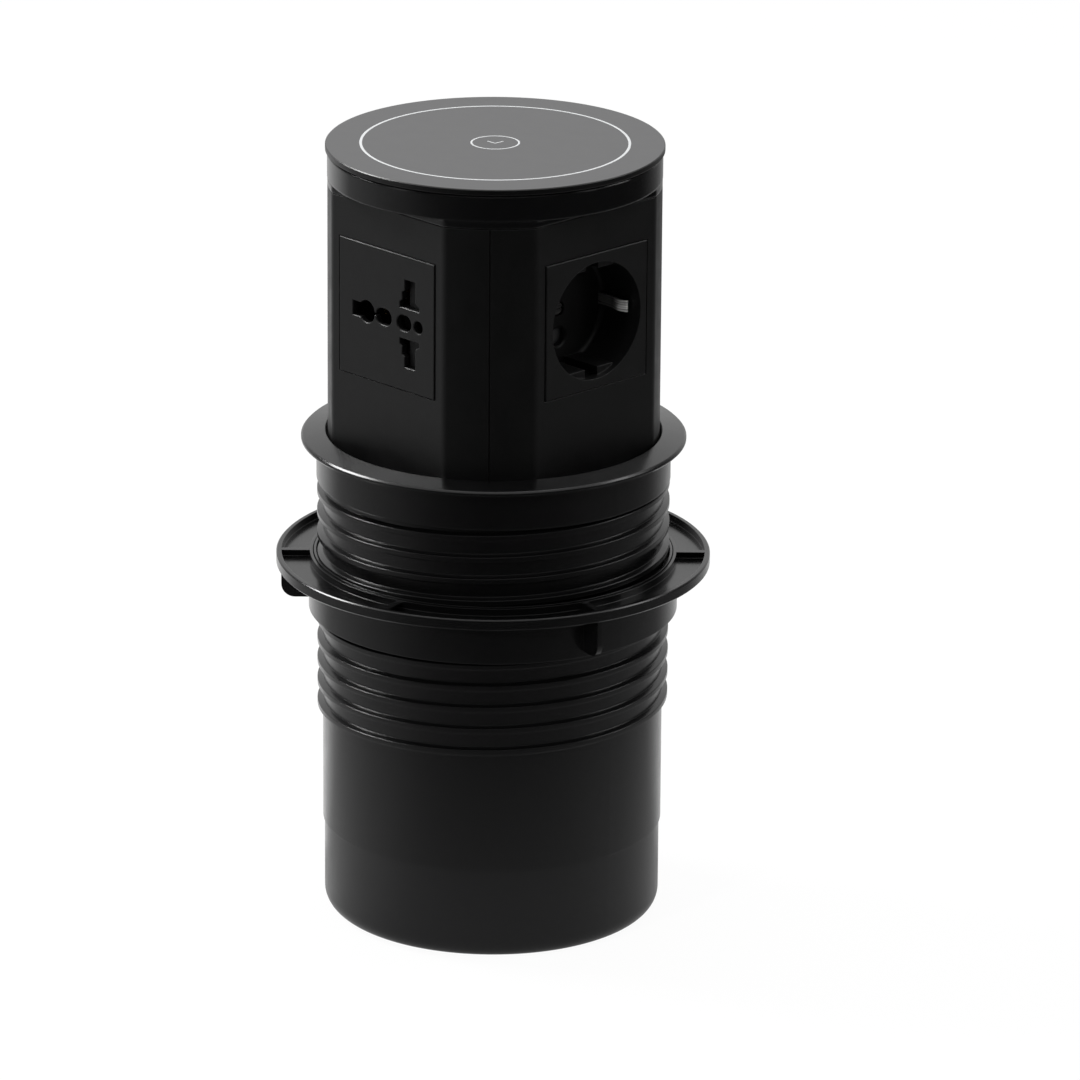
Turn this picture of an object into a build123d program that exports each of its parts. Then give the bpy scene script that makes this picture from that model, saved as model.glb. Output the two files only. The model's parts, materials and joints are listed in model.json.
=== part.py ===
from build123d import *
import math
import os

# Lengths are in millimetres. Z runs up the axis of the tower, and zero is the underside of the base cup.
# The tower stands raised, and the clamp nut sits part of the way down its thread.
# The face toward -Y holds the universal socket, and the face toward +X a round earthed socket.

# Clearances
overrun = 1.0
seat_gap = 0.3
joint_gap = 0.15
running_gap = 0.05
bond_depth = 0.4

# Heights that set the whole stack
flange_top = 164.5
lift_travel = 94.2
disc_thickness = 2.0
gasket_thickness = 0.4
band_height = 8.6
skirt_height = 2.4
stop_ring_height = 6.0
stop_groove_depth = 1.5
stop_ring_slit = 2.0
foot_thickness = 5.0
cup_seam = 30.9

# Radii that set the whole stack
tower_radius = 54.1
flat_depth = 6.8
tower_wall = 2.1
tower_corner = 4.0
inner_corner = 2.0
bore_clearance = 0.4
tube_wall = 1.3
band_step = 0.1
disc_overhang = 0.35

tower_flat = tower_radius - flat_depth
bore_radius = tower_radius + bore_clearance
band_radius = tower_radius + band_step
disc_radius = bore_radius + disc_overhang
tube_radius = bore_radius + tube_wall
disc_bottom = flange_top + seat_gap + lift_travel
gasket_bottom = disc_bottom - gasket_thickness
disc_top = disc_bottom + disc_thickness
band_bottom = gasket_bottom - band_height
shell_top = band_bottom - skirt_height
stop_ring_top = band_bottom - lift_travel - seat_gap
stop_ring_bottom = stop_ring_top - stop_ring_height
foot_top = stop_ring_bottom - seat_gap
foot_bottom = foot_top - foot_thickness
inner_radius = tower_radius - tower_wall
inner_flat = tower_flat - tower_wall

# Desk flange and collar
flange_reach = 8.3
flange_fall = 1.4
flange_bevel = 0.6
flange_edge = 1.3
mouth_bevel = 0.5
collar_step = 2.0
collar_height = 12.5
collar_chamfer = 0.5

flange_radius = bore_radius + flange_reach
collar_radius = tube_radius + collar_step

# Outside thread, a right-hand ridge
thread_pitch = 7.3
thread_turns = 11
thread_depth = 1.8
ridge_root_width = 3.6
ridge_crest_width = 1.6
thread_start_height = 69.05
thread_start_angle = 136.3

thread_crest_radius = tube_radius + thread_depth

# Clamp nut
nut_reach = 10.6
nut_top = 122.8
nut_flange_height = 3.7
nut_channel_depth = 2.4
nut_rim_wall = 1.7
nut_collar_wall = 2.45
nut_inner_wall = 1.0
nut_bottom = 104.1
nut_rim_bevel = 0.4
nut_mouth_depth = 4.3
slip_ring_wall = 0.8
slip_ring_stand = 0.2
nut_thread_turns = 1.2
nut_ridge_root_width = 5.2
nut_ridge_crest_width = 3.4
rib_width = 2.4
rib_drop = 0.4
fin_width = 1.8
fin_inset = 1.6
fin_lift = 2.0
fin_corner = 4.5
nut_turn = -13.7
rib_count = 6
fin_count = 3

# Base cup
cup_step = 0.55
cup_wall = 2.6
cup_floor = 3.0
cup_round = 6.0
spigot_wall = 2.0
spigot_height = 14.0

cup_radius = tube_radius - cup_step

# Gas strut
strut_radius = 7.5
strut_bore = 6.0
strut_base_height = 11.0
strut_rod_radius = 3.0
piston_height = 6.0
gland_plug_height = 6.0
gland_cap_height = 3.0
strut_socket_wall = 2.5
strut_socket_height = 9.0
strut_pin_radius = 1.5
rod_shoulder_radius = 5.0
rod_shoulder_height = 3.0
rod_tip = 0.4
strut_nut_width = 10.0
strut_nut_height = 3.6
strut_clear = 0.6

# Push latch
latch_reach = 30.0
latch_width = 14.0
latch_top = 36.0
latch_floor = 9.0
latch_wide_bore = 5.3
latch_narrow_bore = 3.3
latch_neck_height = 5.0
latch_collar_height = 3.0
latch_stand = 6.0
latch_spring_wire = 0.7
latch_spring_turns = 6
striker_radius = 3.2

# Cable gland in the floor of the cup
gland_reach = 30.0
gland_bore = 3.75
gland_radius = 7.8
gland_flange_radius = 11.0
gland_flange_height = 2.0
gland_height = 15.4
gland_recess = 0.6
gland_nut_width = 21.0
gland_nut_height = 7.0

# Fasteners
screw_radius = 1.45
screw_head_radius = 2.7
screw_head_height = 1.8
screw_bite = 8.0
base_screw_spacing = 9.0
base_screw_bite = 5.0

# Charging lid
pocket_wall = 2.7
pocket_depth = 6.4
cap_floor = 2.0
cap_hollow_wall = 14.2
seam_line = 0.25
spigot_drop = 2.6
cap_chamfer = 0.35
disc_chamfer = 0.3
gasket_inset = 0.6
gasket_width = 2.0
print_depth = 0.12
large_ring_share = 0.79
large_ring_width = 0.9
small_ring_radius = 7.7
small_ring_width = 0.65
glyph_width = 5.2
glyph_rise = 2.4
glyph_line = 0.7
coil_outer = 22.0
coil_inner = 10.0
coil_height = 1.1
ferrite_radius = 25.0
ferrite_height = 0.8
tray_radius = 27.0
tray_wall = 1.6
board_radius = 38.0
board_height = 1.2

pocket_radius = band_radius - pocket_wall
cap_hollow_radius = band_radius - cap_hollow_wall
large_ring_radius = disc_radius * large_ring_share

# Top frame and tower bosses
frame_height = 4.0
frame_web_width = 16.0
frame_rim = 7.0
boss_radius = 3.6
boss_inset = 3.4
boss_offset_angle = 7.0
seam_gap = 0.08
seam_groove_width = 0.5
seam_groove_depth = 0.3
foot_gap = 0.45
foot_spigot_height = 4.0
foot_spigot_wall = 2.5
wire_hole_radius = 6.0
wire_hole_reach = 22.0

boss_circle = inner_radius - boss_inset

# Square inserts in the four flats
insert_drop = 35.75
plate_width = 44.6
plate_height = 45.0
plate_side_gap = 0.45
plate_end_gap = 0.25
plate_thickness = 2.0
plate_proud = 0.3
plate_chamfer = 0.2
hook_width = 8.0
hook_arm = 1.6
hook_length = 4.6
hook_nose = 0.9

face_distance = tower_flat + plate_proud
insert_height = shell_top - insert_drop
window_width = plate_width + plate_side_gap + plate_side_gap
window_height = plate_height + plate_end_gap + plate_end_gap

# Round earthed socket, turned a quarter so that its pins stand one above the other
recess_radius = 19.5
recess_depth = 17.5
recess_wall = 1.5
recess_floor = 2.2
recess_corner = 1.6
lip_reach = 16.55
lip_depth = 2.4
lip_half_length = 9.6
notch_width = 5.4
pin_hole_radius = 3.0
pin_hole_rim = 0.6
pin_spacing = 19.0
clip_width = 3.8
clip_thickness = 0.8
clip_reach = 17.9
clip_bulge = 1.2
clip_front = 4.0
clip_bulge_depth = 8.4
clip_return = 2.6
clip_slot_clearance = 0.4
shutter_thickness = 1.5
shutter_radius = 13.9
shutter_turn = 42.0
shutter_hub = 3.2
carrier_width = 25.6
carrier_height = 31.0
carrier_wall = 1.5
carrier_depth = 11.3
contact_gap = 4.6
contact_width = 6.0
contact_sheet = 0.8
contact_length = 7.5
centre_screw_radius = 1.5
centre_head_radius = 2.1
centre_head_height = 0.9
centre_head_sink = 0.7
driver_slot = 0.8

# Universal socket, turned a quarter so that its earth holes lie to the left
slot_width = 4.7
slot_middle = 10.95
slot_far_end = 14.6
slot_near_end = 5.2
step_width = 1.2
step_low = 10.4
step_high = 11.2
foot_left = 2.3
foot_left_low = 7.1
foot_left_high = 7.9
foot_right = 1.9
foot_right_low = 6.6
foot_right_high = 7.7
earth_slot_width = 5.6
earth_slot_height = 4.8
earth_slot_middle = -13.1
earth_round_radius = 3.7
earth_round_middle = -9.4
neck_length = 5.0
neck_height = 0.8
neck_middle = -5.5
second_round_height = 5.5
second_round_width = 7.3
second_round_middle = -1.4
third_round_height = 5.2
third_round_width = 6.6
third_round_middle = 8.2
fourth_round_radius = 2.05
fourth_round_middle = 14.8
hole_rim = 0.25
universal_size = 41.0
universal_depth = 22.0
universal_wall = 1.5
slider_thickness = 1.6
slider_left = 2.5
slider_right = 14.4
slider_half_height = 16.5
slider_bar = 2.0
slider_gate = 4.4
slider_travel = 4.3
slider_window_inset = 0.9
blade_clear = 6.5
blade_sheet = 0.8
blade_width = 7.0
blade_gap = 3.6

# Charging module with a wide and a narrow port
wide_port_width = 13.1
wide_port_height = 5.7
narrow_port_width = 8.9
narrow_port_height = 3.2
port_wall = 0.35
port_inset = 0.5
port_length = 14.0
port_clearance = 0.15
port_raise = 7.0
wide_tongue_height = 1.9
narrow_tongue_height = 0.7
tongue_side_gap = 1.0
usb_board_size = 38.0
usb_board_thickness = 1.6
usb_post_radius = 2.9
usb_post_spacing = 31.0
transformer_width = 14.0
transformer_height = 12.0
transformer_depth = 10.0

# Terminal block on the tower foot
terminal_reach = 31.0
terminal_width = 14.0
terminal_length = 34.0
terminal_height = 13.0
terminal_count = 3
terminal_spacing = 10.0
terminal_hole_radius = 2.6
terminal_screw_radius = 2.0
terminal_screw_height = 2.0

quarter = 90.0
half_turn = 180.0
full_turn = 360.0
seam_angle = 45.0


# Basic shapes

def rod(radius, low, high, x=0, y=0):
    bar = Cylinder(radius, high - low, align=(Align.CENTER, Align.CENTER, Align.MIN))
    return Pos(x, y, low) * bar


def ring(outer, inner, low, high):
    return rod(outer, low, high) - rod(inner, low - overrun, high + overrun)


def block(width, depth, low, high, x=0, y=0):
    body = Box(width, depth, high - low, align=(Align.CENTER, Align.CENTER, Align.MIN))
    return Pos(x, y, low) * body


def slab(width, height, front, back, x=0, z=0):
    body = Box(width, back - front, height, align=(Align.CENTER, Align.MIN, Align.CENTER))
    return Pos(x, front, z) * body


def peg(radius, front, back, x=0, z=0):
    bar = Cylinder(radius, back - front, align=(Align.CENTER, Align.CENTER, Align.MIN))
    return Pos(x, front, z) * Rot(-quarter, 0, 0) * bar


def oval_peg(width, height, front, back, x=0):
    # A slot with round ends, lying across the plate
    reach = (width - height) / 2
    ends = peg(height / 2, front, back, x - reach) + peg(height / 2, front, back, x + reach)
    return ends + slab(reach + reach, height, front, back, x)


def turned(points):
    outline = make_face(Polyline(*points, close=True))
    return revolve(Plane.XZ * outline, Axis.Z)


def tower_section(radius, flat, corner):
    outline = Circle(radius) & Rectangle(flat + flat, flat + flat)
    return fillet(outline.vertices(), corner)


def tower_bar(radius, flat, corner, low, high):
    return Pos(0, 0, low) * extrude(tower_section(radius, flat, corner), high - low)


def inner_bar(gap, low, high):
    return tower_bar(inner_radius - gap, inner_flat - gap, inner_corner, low, high)


def on_side(shape, side_turn):
    return Rot(0, 0, side_turn) * Pos(0, -face_distance, insert_height) * shape


def boss_angles(half):
    # Each shell has one boss on its middle column and one beside each seam
    middle = seam_angle if half == "back" else seam_angle + half_turn
    beside = quarter - boss_offset_angle
    return [middle, middle - beside, middle + beside]


def boss_places(angles):
    places = []
    for angle in angles:
        turn = math.radians(angle)
        places.append((boss_circle * math.cos(turn), boss_circle * math.sin(turn)))
    return places


def all_boss_places():
    return boss_places(boss_angles("front") + boss_angles("back"))


def screw(head_low, length, x, y, upward):
    # A round-headed screw that points up, or down where upward is False
    head_top = head_low + screw_head_height
    head = rod(screw_head_radius, head_low, head_top, x, y)
    if upward:
        return head + rod(screw_radius, head_low, head_low + length, x, y)
    return head + rod(screw_radius, head_top - length, head_top, x, y)


def helical_ridge(base_radius, tip_radius, base_width, tip_width, turns, height, angle):
    path = Helix(thread_pitch, thread_pitch * turns, base_radius)
    points = [
        (base_radius, -base_width / 2),
        (tip_radius, -tip_width / 2),
        (tip_radius, tip_width / 2),
        (base_radius, base_width / 2),
    ]
    profile = Plane.XZ * make_face(Polyline(*points, close=True))
    ridge = sweep(profile, path=path, is_frenet=True)
    return Pos(0, 0, height) * Rot(0, 0, angle) * ridge


# Fixed body under the desk

def desk_sleeve():
    flange_edge_top = flange_top - flange_fall
    underside = flange_edge_top - flange_bevel - flange_edge
    collar_bottom = underside - collar_height
    body = turned([
        (bore_radius, cup_seam),
        (tube_radius, cup_seam),
        (tube_radius, collar_bottom - collar_chamfer),
        (collar_radius - collar_chamfer, collar_bottom - collar_chamfer),
        (collar_radius, collar_bottom),
        (collar_radius, underside),
        (flange_radius - flange_bevel, underside),
        (flange_radius, underside + flange_bevel),
        (flange_radius, flange_edge_top - flange_bevel),
        (flange_radius - flange_bevel, flange_edge_top),
        (bore_radius + mouth_bevel, flange_top),
        (bore_radius, flange_top - mouth_bevel),
    ])
    sunk_radius = tube_radius - bond_depth
    body += helical_ridge(
        sunk_radius, thread_crest_radius, ridge_root_width, ridge_crest_width,
        thread_turns, thread_start_height, thread_start_angle,
    )
    groove = stop_groove_depth + running_gap
    return body - ring(
        bore_radius + groove, bore_radius - overrun,
        stop_ring_bottom - running_gap, stop_ring_top + running_gap,
    )


def stop_ring():
    # The tower slides through this split ring, and its wider foot stops against it
    outer = bore_radius + stop_groove_depth
    body = rod(outer, stop_ring_bottom, stop_ring_top)
    gap = seat_gap + running_gap
    body -= tower_bar(
        tower_radius + gap, tower_flat + gap, tower_corner,
        stop_ring_bottom - overrun, stop_ring_top + overrun,
    )
    slit = block(outer, stop_ring_slit, stop_ring_bottom - overrun, stop_ring_top + overrun, outer)
    return body - Rot(0, 0, half_turn - seam_angle) * slit


def base_cup():
    spigot_outer = bore_radius - joint_gap
    spigot_inner = spigot_outer - spigot_wall
    inside = cup_radius - cup_wall
    cup = turned([
        (0, 0),
        (cup_radius, 0),
        (cup_radius, cup_seam),
        (spigot_outer, cup_seam),
        (spigot_outer, cup_seam + spigot_height),
        (spigot_inner, cup_seam + spigot_height),
        (spigot_inner, cup_seam - spigot_height),
        (inside, cup_seam - spigot_height - cup_wall),
        (inside, cup_floor),
        (0, cup_floor),
    ])
    lowest = cup.edges().filter_by(GeomType.CIRCLE).sort_by(Axis.Z)[0]
    cup = fillet(lowest, cup_round)
    socket_inner = strut_radius + running_gap
    socket_outer = socket_inner + strut_socket_wall
    cup += ring(socket_outer, socket_inner, cup_floor, cup_floor + strut_socket_height)
    cup -= strut_pin_bar(strut_pin_radius + running_gap, overrun)
    cup -= rod(gland_radius + joint_gap, -overrun, cup_floor + overrun, -gland_reach)
    for y in base_screw_places():
        cup -= rod(screw_radius + running_gap, -overrun, cup_floor + overrun, latch_reach, y)
        cup -= rod(screw_head_radius + joint_gap, -overrun, screw_head_height, latch_reach, y)
    return cup


def base_screw_places():
    return [-base_screw_spacing / 2, base_screw_spacing / 2]


def base_screws():
    length = cup_floor + base_screw_bite
    return Part() + [screw(0, length, latch_reach, y, True) for y in base_screw_places()]


# Gas strut, standing on the cup floor and lifting the tower

strut_base_top = cup_floor + strut_base_height
piston_bottom = strut_base_top + seat_gap + lift_travel
gland_bottom = piston_bottom + piston_height + seat_gap
strut_tube_top = gland_bottom + gland_plug_height
frame_top = shell_top - spigot_drop
frame_bottom = frame_top - frame_height


def strut_pin_bar(radius, extra):
    half_length = strut_radius + running_gap + strut_socket_wall + extra
    height = cup_floor + strut_socket_height / 2
    bar = Cylinder(radius, half_length + half_length)
    return Pos(0, 0, height) * Rot(quarter, 0, 0) * bar


def strut_cylinder():
    body = rod(strut_radius, cup_floor, strut_tube_top)
    body -= rod(strut_bore, strut_base_top, strut_tube_top + overrun)
    return body - strut_pin_bar(strut_pin_radius + running_gap, overrun)


def strut_pin():
    return strut_pin_bar(strut_pin_radius, -joint_gap)


def strut_gland():
    gland_top = strut_tube_top + gland_cap_height
    gland = rod(strut_bore - running_gap, gland_bottom, strut_tube_top)
    gland += rod(strut_radius, strut_tube_top, gland_top)
    return gland - rod(strut_rod_radius + running_gap, gland_bottom - overrun, gland_top + overrun)


def strut_rod():
    top = frame_top + strut_nut_height + rod_tip
    bar = rod(strut_bore - running_gap, piston_bottom, piston_bottom + piston_height)
    bar += rod(strut_rod_radius, piston_bottom, top)
    return bar + rod(rod_shoulder_radius, frame_bottom - rod_shoulder_height, frame_bottom)


def strut_nut():
    top = frame_top + strut_nut_height
    outline = RegularPolygon(strut_nut_width / 2, 6, major_radius=False)
    body = Pos(0, 0, frame_top) * extrude(outline, strut_nut_height)
    return body - rod(strut_rod_radius + running_gap, frame_top - overrun, top + overrun)


# Push latch on the cup floor, pressed by the tower when it is down

latch_bore_floor = cup_floor + latch_floor
latch_neck = latch_top - latch_neck_height
plunger_collar_top = latch_neck - seat_gap
plunger_bottom = plunger_collar_top - latch_collar_height
plunger_top = latch_top + latch_stand


def latch_housing():
    body = block(latch_width, latch_width, cup_floor, latch_top, latch_reach)
    body -= rod(latch_wide_bore, latch_bore_floor, latch_neck, latch_reach)
    body -= rod(latch_narrow_bore, latch_neck - overrun, latch_top + overrun, latch_reach)
    hole_top = cup_floor + base_screw_bite + joint_gap
    for y in base_screw_places():
        body -= rod(screw_radius + running_gap, cup_floor - overrun, hole_top, latch_reach, y)
    return body


def latch_plunger():
    collar = rod(latch_wide_bore - running_gap, plunger_bottom, plunger_collar_top, latch_reach)
    return collar + rod(latch_narrow_bore - running_gap, plunger_bottom, plunger_top, latch_reach)


def latch_spring():
    coil_radius = latch_wide_bore - latch_spring_wire - joint_gap
    wire_radius = latch_spring_wire / 2
    rise = plunger_bottom - latch_bore_floor - latch_spring_wire
    path = Helix(rise / latch_spring_turns, rise, coil_radius)
    section = Plane((coil_radius, 0, 0), z_dir=(0, 1, 0)) * Circle(wire_radius)
    wire = sweep(section, path=path, is_frenet=True)
    return Pos(latch_reach, 0, latch_bore_floor + wire_radius) * wire


# Cable gland in the cup floor

def cable_gland():
    body = rod(gland_radius, gland_recess, gland_recess + gland_height, -gland_reach)
    body += rod(gland_flange_radius, cup_floor, cup_floor + gland_flange_height, -gland_reach)
    return body - rod(gland_bore, -overrun, gland_recess + gland_height + overrun, -gland_reach)


def gland_nut():
    top = gland_recess + gland_height
    low = top - gland_nut_height
    outline = RegularPolygon(gland_nut_width / 2, 6, major_radius=False)
    body = Pos(-gland_reach, 0, low) * extrude(outline, gland_nut_height)
    return body - rod(gland_radius + running_gap, low - overrun, top + overrun, -gland_reach)


# Clamp nut and the slip ring in its mouth

nut_bore = thread_crest_radius + seat_gap + running_gap
slip_ring_inner = thread_crest_radius + seat_gap
slip_ring_outer = slip_ring_inner + slip_ring_wall
nut_mouth_radius = slip_ring_outer + seat_gap
nut_wall_radius = nut_mouth_radius + nut_inner_wall
nut_collar_radius = nut_bore + nut_collar_wall
nut_radius = nut_collar_radius + nut_reach


def clamp_nut():
    flange_low = nut_top - nut_flange_height
    channel = nut_top - nut_channel_depth
    rim_inner = nut_radius - nut_rim_wall
    ledge = nut_top - nut_mouth_depth
    body = turned([
        (nut_bore, nut_bottom),
        (nut_collar_radius, nut_bottom),
        (nut_collar_radius, flange_low),
        (nut_radius - nut_rim_bevel, flange_low),
        (nut_radius, flange_low + nut_rim_bevel),
        (nut_radius, nut_top - nut_rim_bevel),
        (nut_radius - nut_rim_bevel, nut_top),
        (rim_inner, nut_top),
        (rim_inner, channel),
        (nut_wall_radius, channel),
        (nut_wall_radius, nut_top),
        (nut_mouth_radius, nut_top),
        (nut_mouth_radius, ledge),
        (nut_bore, ledge),
    ])
    for index in range(rib_count):
        angle = nut_turn + index * full_turn / rib_count
        body += Rot(0, 0, angle) * nut_rib(rim_inner, channel)
    for index in range(fin_count):
        angle = nut_turn + index * full_turn / fin_count
        body += Rot(0, 0, angle) * nut_fin(flange_low)
    return body + nut_thread(ledge)


def nut_rib(rim_inner, channel):
    span = rim_inner - nut_wall_radius + bond_depth
    middle = (rim_inner + nut_wall_radius) / 2
    return block(span, rib_width, channel - bond_depth, nut_top - rib_drop, middle)


def nut_fin(flange_low):
    # A grip under the flange with its lower outer corner rounded off
    inner = nut_collar_radius - bond_depth
    outer = nut_radius - fin_inset
    high = flange_low + bond_depth
    low = nut_bottom + fin_lift
    outline = Pos((inner + outer) / 2, (low + high) / 2) * Rectangle(outer - inner, high - low)
    lower_outer = outline.vertices().sort_by(Axis.Y)[:2].sort_by(Axis.X)[-1]
    outline = fillet(lower_outer, fin_corner)
    return extrude(Plane.XZ * outline, fin_width / 2, both=True)


def nut_thread(ledge):
    # Runs in the groove between two turns of the sleeve's ridge
    clear = seat_gap + joint_gap
    spare = ledge - nut_bottom - thread_pitch * nut_thread_turns
    start = nut_bottom + spare / 2
    groove_start = thread_start_height + thread_pitch / 2
    angle = thread_start_angle + full_turn * (start - groove_start) / thread_pitch
    return helical_ridge(
        nut_bore + bond_depth, tube_radius + clear, nut_ridge_root_width, nut_ridge_crest_width,
        nut_thread_turns, start, angle,
    )


def slip_ring():
    ledge = nut_top - nut_mouth_depth
    return ring(slip_ring_outer, slip_ring_inner, ledge + seat_gap, nut_top + slip_ring_stand)


# Tower shells, foot and top frame

def tower_tube():
    body = tower_bar(tower_radius, tower_flat, tower_corner, foot_top, shell_top)
    body -= inner_bar(0, foot_top - overrun, shell_top + overrun)
    window = slab(window_width, window_height, -overrun, tower_wall + plate_proud + overrun)
    for index in range(4):
        body -= on_side(window, index * quarter)
    groove = block(seam_groove_width, seam_groove_width, foot_top - overrun, shell_top + overrun)
    for turn in (-seam_angle, half_turn - seam_angle):
        reach = tower_radius + seam_groove_width / 2 - seam_groove_depth
        body -= Rot(0, 0, turn) * Pos(reach, 0, 0) * groove
    return body


def tower_shell(half):
    body = tower_tube()
    screw_depth = screw_bite + overrun
    for x, y in boss_places(boss_angles(half)):
        body += rod(boss_radius, foot_top, frame_bottom, x, y)
        body -= rod(screw_radius + running_gap, foot_top - overrun, foot_top + screw_depth, x, y)
        body -= rod(screw_radius + running_gap, frame_bottom - screw_depth, frame_bottom + overrun, x, y)
    turn = seam_angle if half == "back" else seam_angle + half_turn
    span = tower_radius + overrun
    keep = block(span, span + span, foot_top - overrun, shell_top + overrun, (seam_gap + span) / 2)
    return body & (Rot(0, 0, turn) * keep)


def tower_foot():
    body = rod(bore_radius - foot_gap, foot_bottom, foot_top)
    spigot_top = foot_top + foot_spigot_height
    spigot = inner_bar(joint_gap, foot_top, spigot_top)
    spigot -= inner_bar(joint_gap + foot_spigot_wall, foot_top - overrun, spigot_top + overrun)
    for x, y in all_boss_places():
        spigot -= rod(boss_radius + joint_gap, foot_top - overrun, spigot_top + overrun, x, y)
    body += spigot
    striker_low = plunger_top + seat_gap + lift_travel
    body += rod(striker_radius, striker_low, foot_bottom + bond_depth, latch_reach)
    body -= rod(strut_radius + strut_clear, foot_bottom - overrun, foot_top + overrun)
    body -= rod(wire_hole_radius, foot_bottom - overrun, foot_top + overrun, 0, wire_hole_reach)
    for x, y in all_boss_places():
        body -= rod(screw_radius + running_gap, foot_bottom - overrun, foot_top + overrun, x, y)
        head_top = foot_bottom + screw_head_height
        body -= rod(screw_head_radius + joint_gap, foot_bottom - overrun, head_top, x, y)
    return body


def foot_screws():
    length = foot_thickness + screw_bite
    return Part() + [screw(foot_bottom, length, x, y, True) for x, y in all_boss_places()]


def top_frame():
    body = inner_bar(joint_gap, frame_bottom, frame_top)
    opening = inner_bar(frame_rim, frame_bottom - overrun, frame_top + overrun)
    span = inner_radius + inner_radius
    web = block(span, frame_web_width, frame_bottom - overrun, frame_top + overrun)
    for turn in (seam_angle, -seam_angle):
        opening -= Rot(0, 0, turn) * web
    body -= opening
    body -= rod(strut_rod_radius + running_gap, frame_bottom - overrun, frame_top + overrun)
    for x, y in all_boss_places():
        body -= rod(screw_radius + running_gap, frame_bottom - overrun, frame_top + overrun, x, y)
    return body


# Charging lid

pocket_floor = gasket_bottom - pocket_depth
hollow_top = pocket_floor - cap_floor


def tower_cap():
    band = rod(band_radius, band_bottom, gasket_bottom)
    rims = band.edges().filter_by(GeomType.CIRCLE)
    body = chamfer(rims, cap_chamfer)
    # The skirt stands back a little just above the shells, which draws a fine line there
    line_radius = tower_radius - seam_line
    line_flat = tower_flat - seam_line
    line_top = shell_top + seam_line
    body += tower_bar(tower_radius, tower_flat, tower_corner, line_top, band_bottom)
    body += tower_bar(line_radius, line_flat, tower_corner, shell_top, band_bottom)
    body += inner_bar(joint_gap, frame_top, shell_top)
    body -= rod(pocket_radius, pocket_floor, gasket_bottom + overrun)
    body -= rod(cap_hollow_radius, frame_top - overrun, hollow_top)
    body -= rod(wire_hole_radius, hollow_top - overrun, pocket_floor + overrun, 0, wire_hole_reach)
    for x, y in all_boss_places():
        body -= rod(screw_radius + running_gap, frame_top - overrun, pocket_floor + overrun, x, y)
    return body


def cap_screws():
    length = screw_head_height + pocket_floor - frame_bottom + screw_bite
    return Part() + [screw(pocket_floor, length, x, y, False) for x, y in all_boss_places()]


def disc_gasket():
    outer = band_radius - gasket_inset
    return ring(outer, outer - gasket_width, gasket_bottom, disc_bottom)


def charging_disc():
    body = rod(disc_radius, disc_bottom, disc_top)
    body = chamfer(body.edges().filter_by(GeomType.CIRCLE), disc_chamfer)
    groove_low = disc_top - print_depth
    body -= print_ring(large_ring_radius, large_ring_width, groove_low, disc_top + overrun)
    body -= print_ring(small_ring_radius, small_ring_width, groove_low, disc_top + overrun)
    return body - chevron(groove_low, disc_top + overrun)


def print_ring(radius, width, low, high):
    return ring(radius + width / 2, radius - width / 2, low, high)


def chevron(low, high):
    # A plain downward arrowhead where the lid is pressed
    half = glyph_width / 2
    points = [
        (-half, glyph_rise / 2),
        (0, -glyph_rise / 2),
        (half, glyph_rise / 2),
        (half, glyph_rise / 2 + glyph_line),
        (0, -glyph_rise / 2 + glyph_line),
        (-half, glyph_rise / 2 + glyph_line),
    ]
    outline = make_face(Polyline(*points, close=True))
    return Pos(0, 0, low) * Rot(0, 0, seam_angle) * extrude(outline, high - low)


def printed_marks():
    low = disc_top - print_depth
    marks = [print_ring(large_ring_radius, large_ring_width, low, disc_top)]
    marks.append(print_ring(small_ring_radius, small_ring_width, low, disc_top))
    marks.append(chevron(low, disc_top))
    return Part() + marks


coil_top = disc_bottom - seat_gap
coil_bottom = coil_top - coil_height
ferrite_bottom = coil_bottom - ferrite_height
board_top = pocket_floor + board_height


def charging_coil():
    return ring(coil_outer, coil_inner, coil_bottom, coil_top)


def ferrite_plate():
    return rod(ferrite_radius, ferrite_bottom, coil_bottom)


def coil_tray():
    body = ring(tray_radius, tray_radius - tray_wall, board_top, coil_bottom)
    shelf = ring(tray_radius, coil_inner, ferrite_bottom - tray_wall, ferrite_bottom)
    return body + shelf - rod(ferrite_radius + joint_gap, ferrite_bottom, coil_bottom + overrun)


def charger_board():
    body = rod(board_radius, pocket_floor, board_top)
    return body - rod(wire_hole_radius, pocket_floor - overrun, board_top + overrun, 0, wire_hole_reach)


# Square insert plate with snap hooks above and below

def insert_plate():
    plate = slab(plate_width, plate_height, 0, plate_thickness)
    front = plate.faces().sort_by(Axis.Y)[0]
    plate = chamfer(front.edges(), plate_chamfer)
    edge = plate_height / 2
    nose_front = plate_proud + tower_wall + running_gap
    nose_height = hook_arm + hook_nose
    nose_middle = edge - hook_arm + nose_height / 2
    for side in (-1, 1):
        arm_middle = edge - hook_arm / 2
        plate += slab(hook_width, hook_arm, plate_thickness / 2, hook_length, 0, side * arm_middle)
        plate += slab(hook_width, nose_height, nose_front, hook_length, 0, side * nose_middle)
    return plate


# Round earthed socket

recess_back = recess_depth + recess_floor
clip_back = recess_back + clip_thickness
shutter_front = clip_back + seat_gap
shutter_back = shutter_front + shutter_thickness
carrier_front = shutter_back + seat_gap
carrier_back = carrier_front + carrier_depth


def pin_places():
    return [-pin_spacing / 2, pin_spacing / 2]


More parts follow.
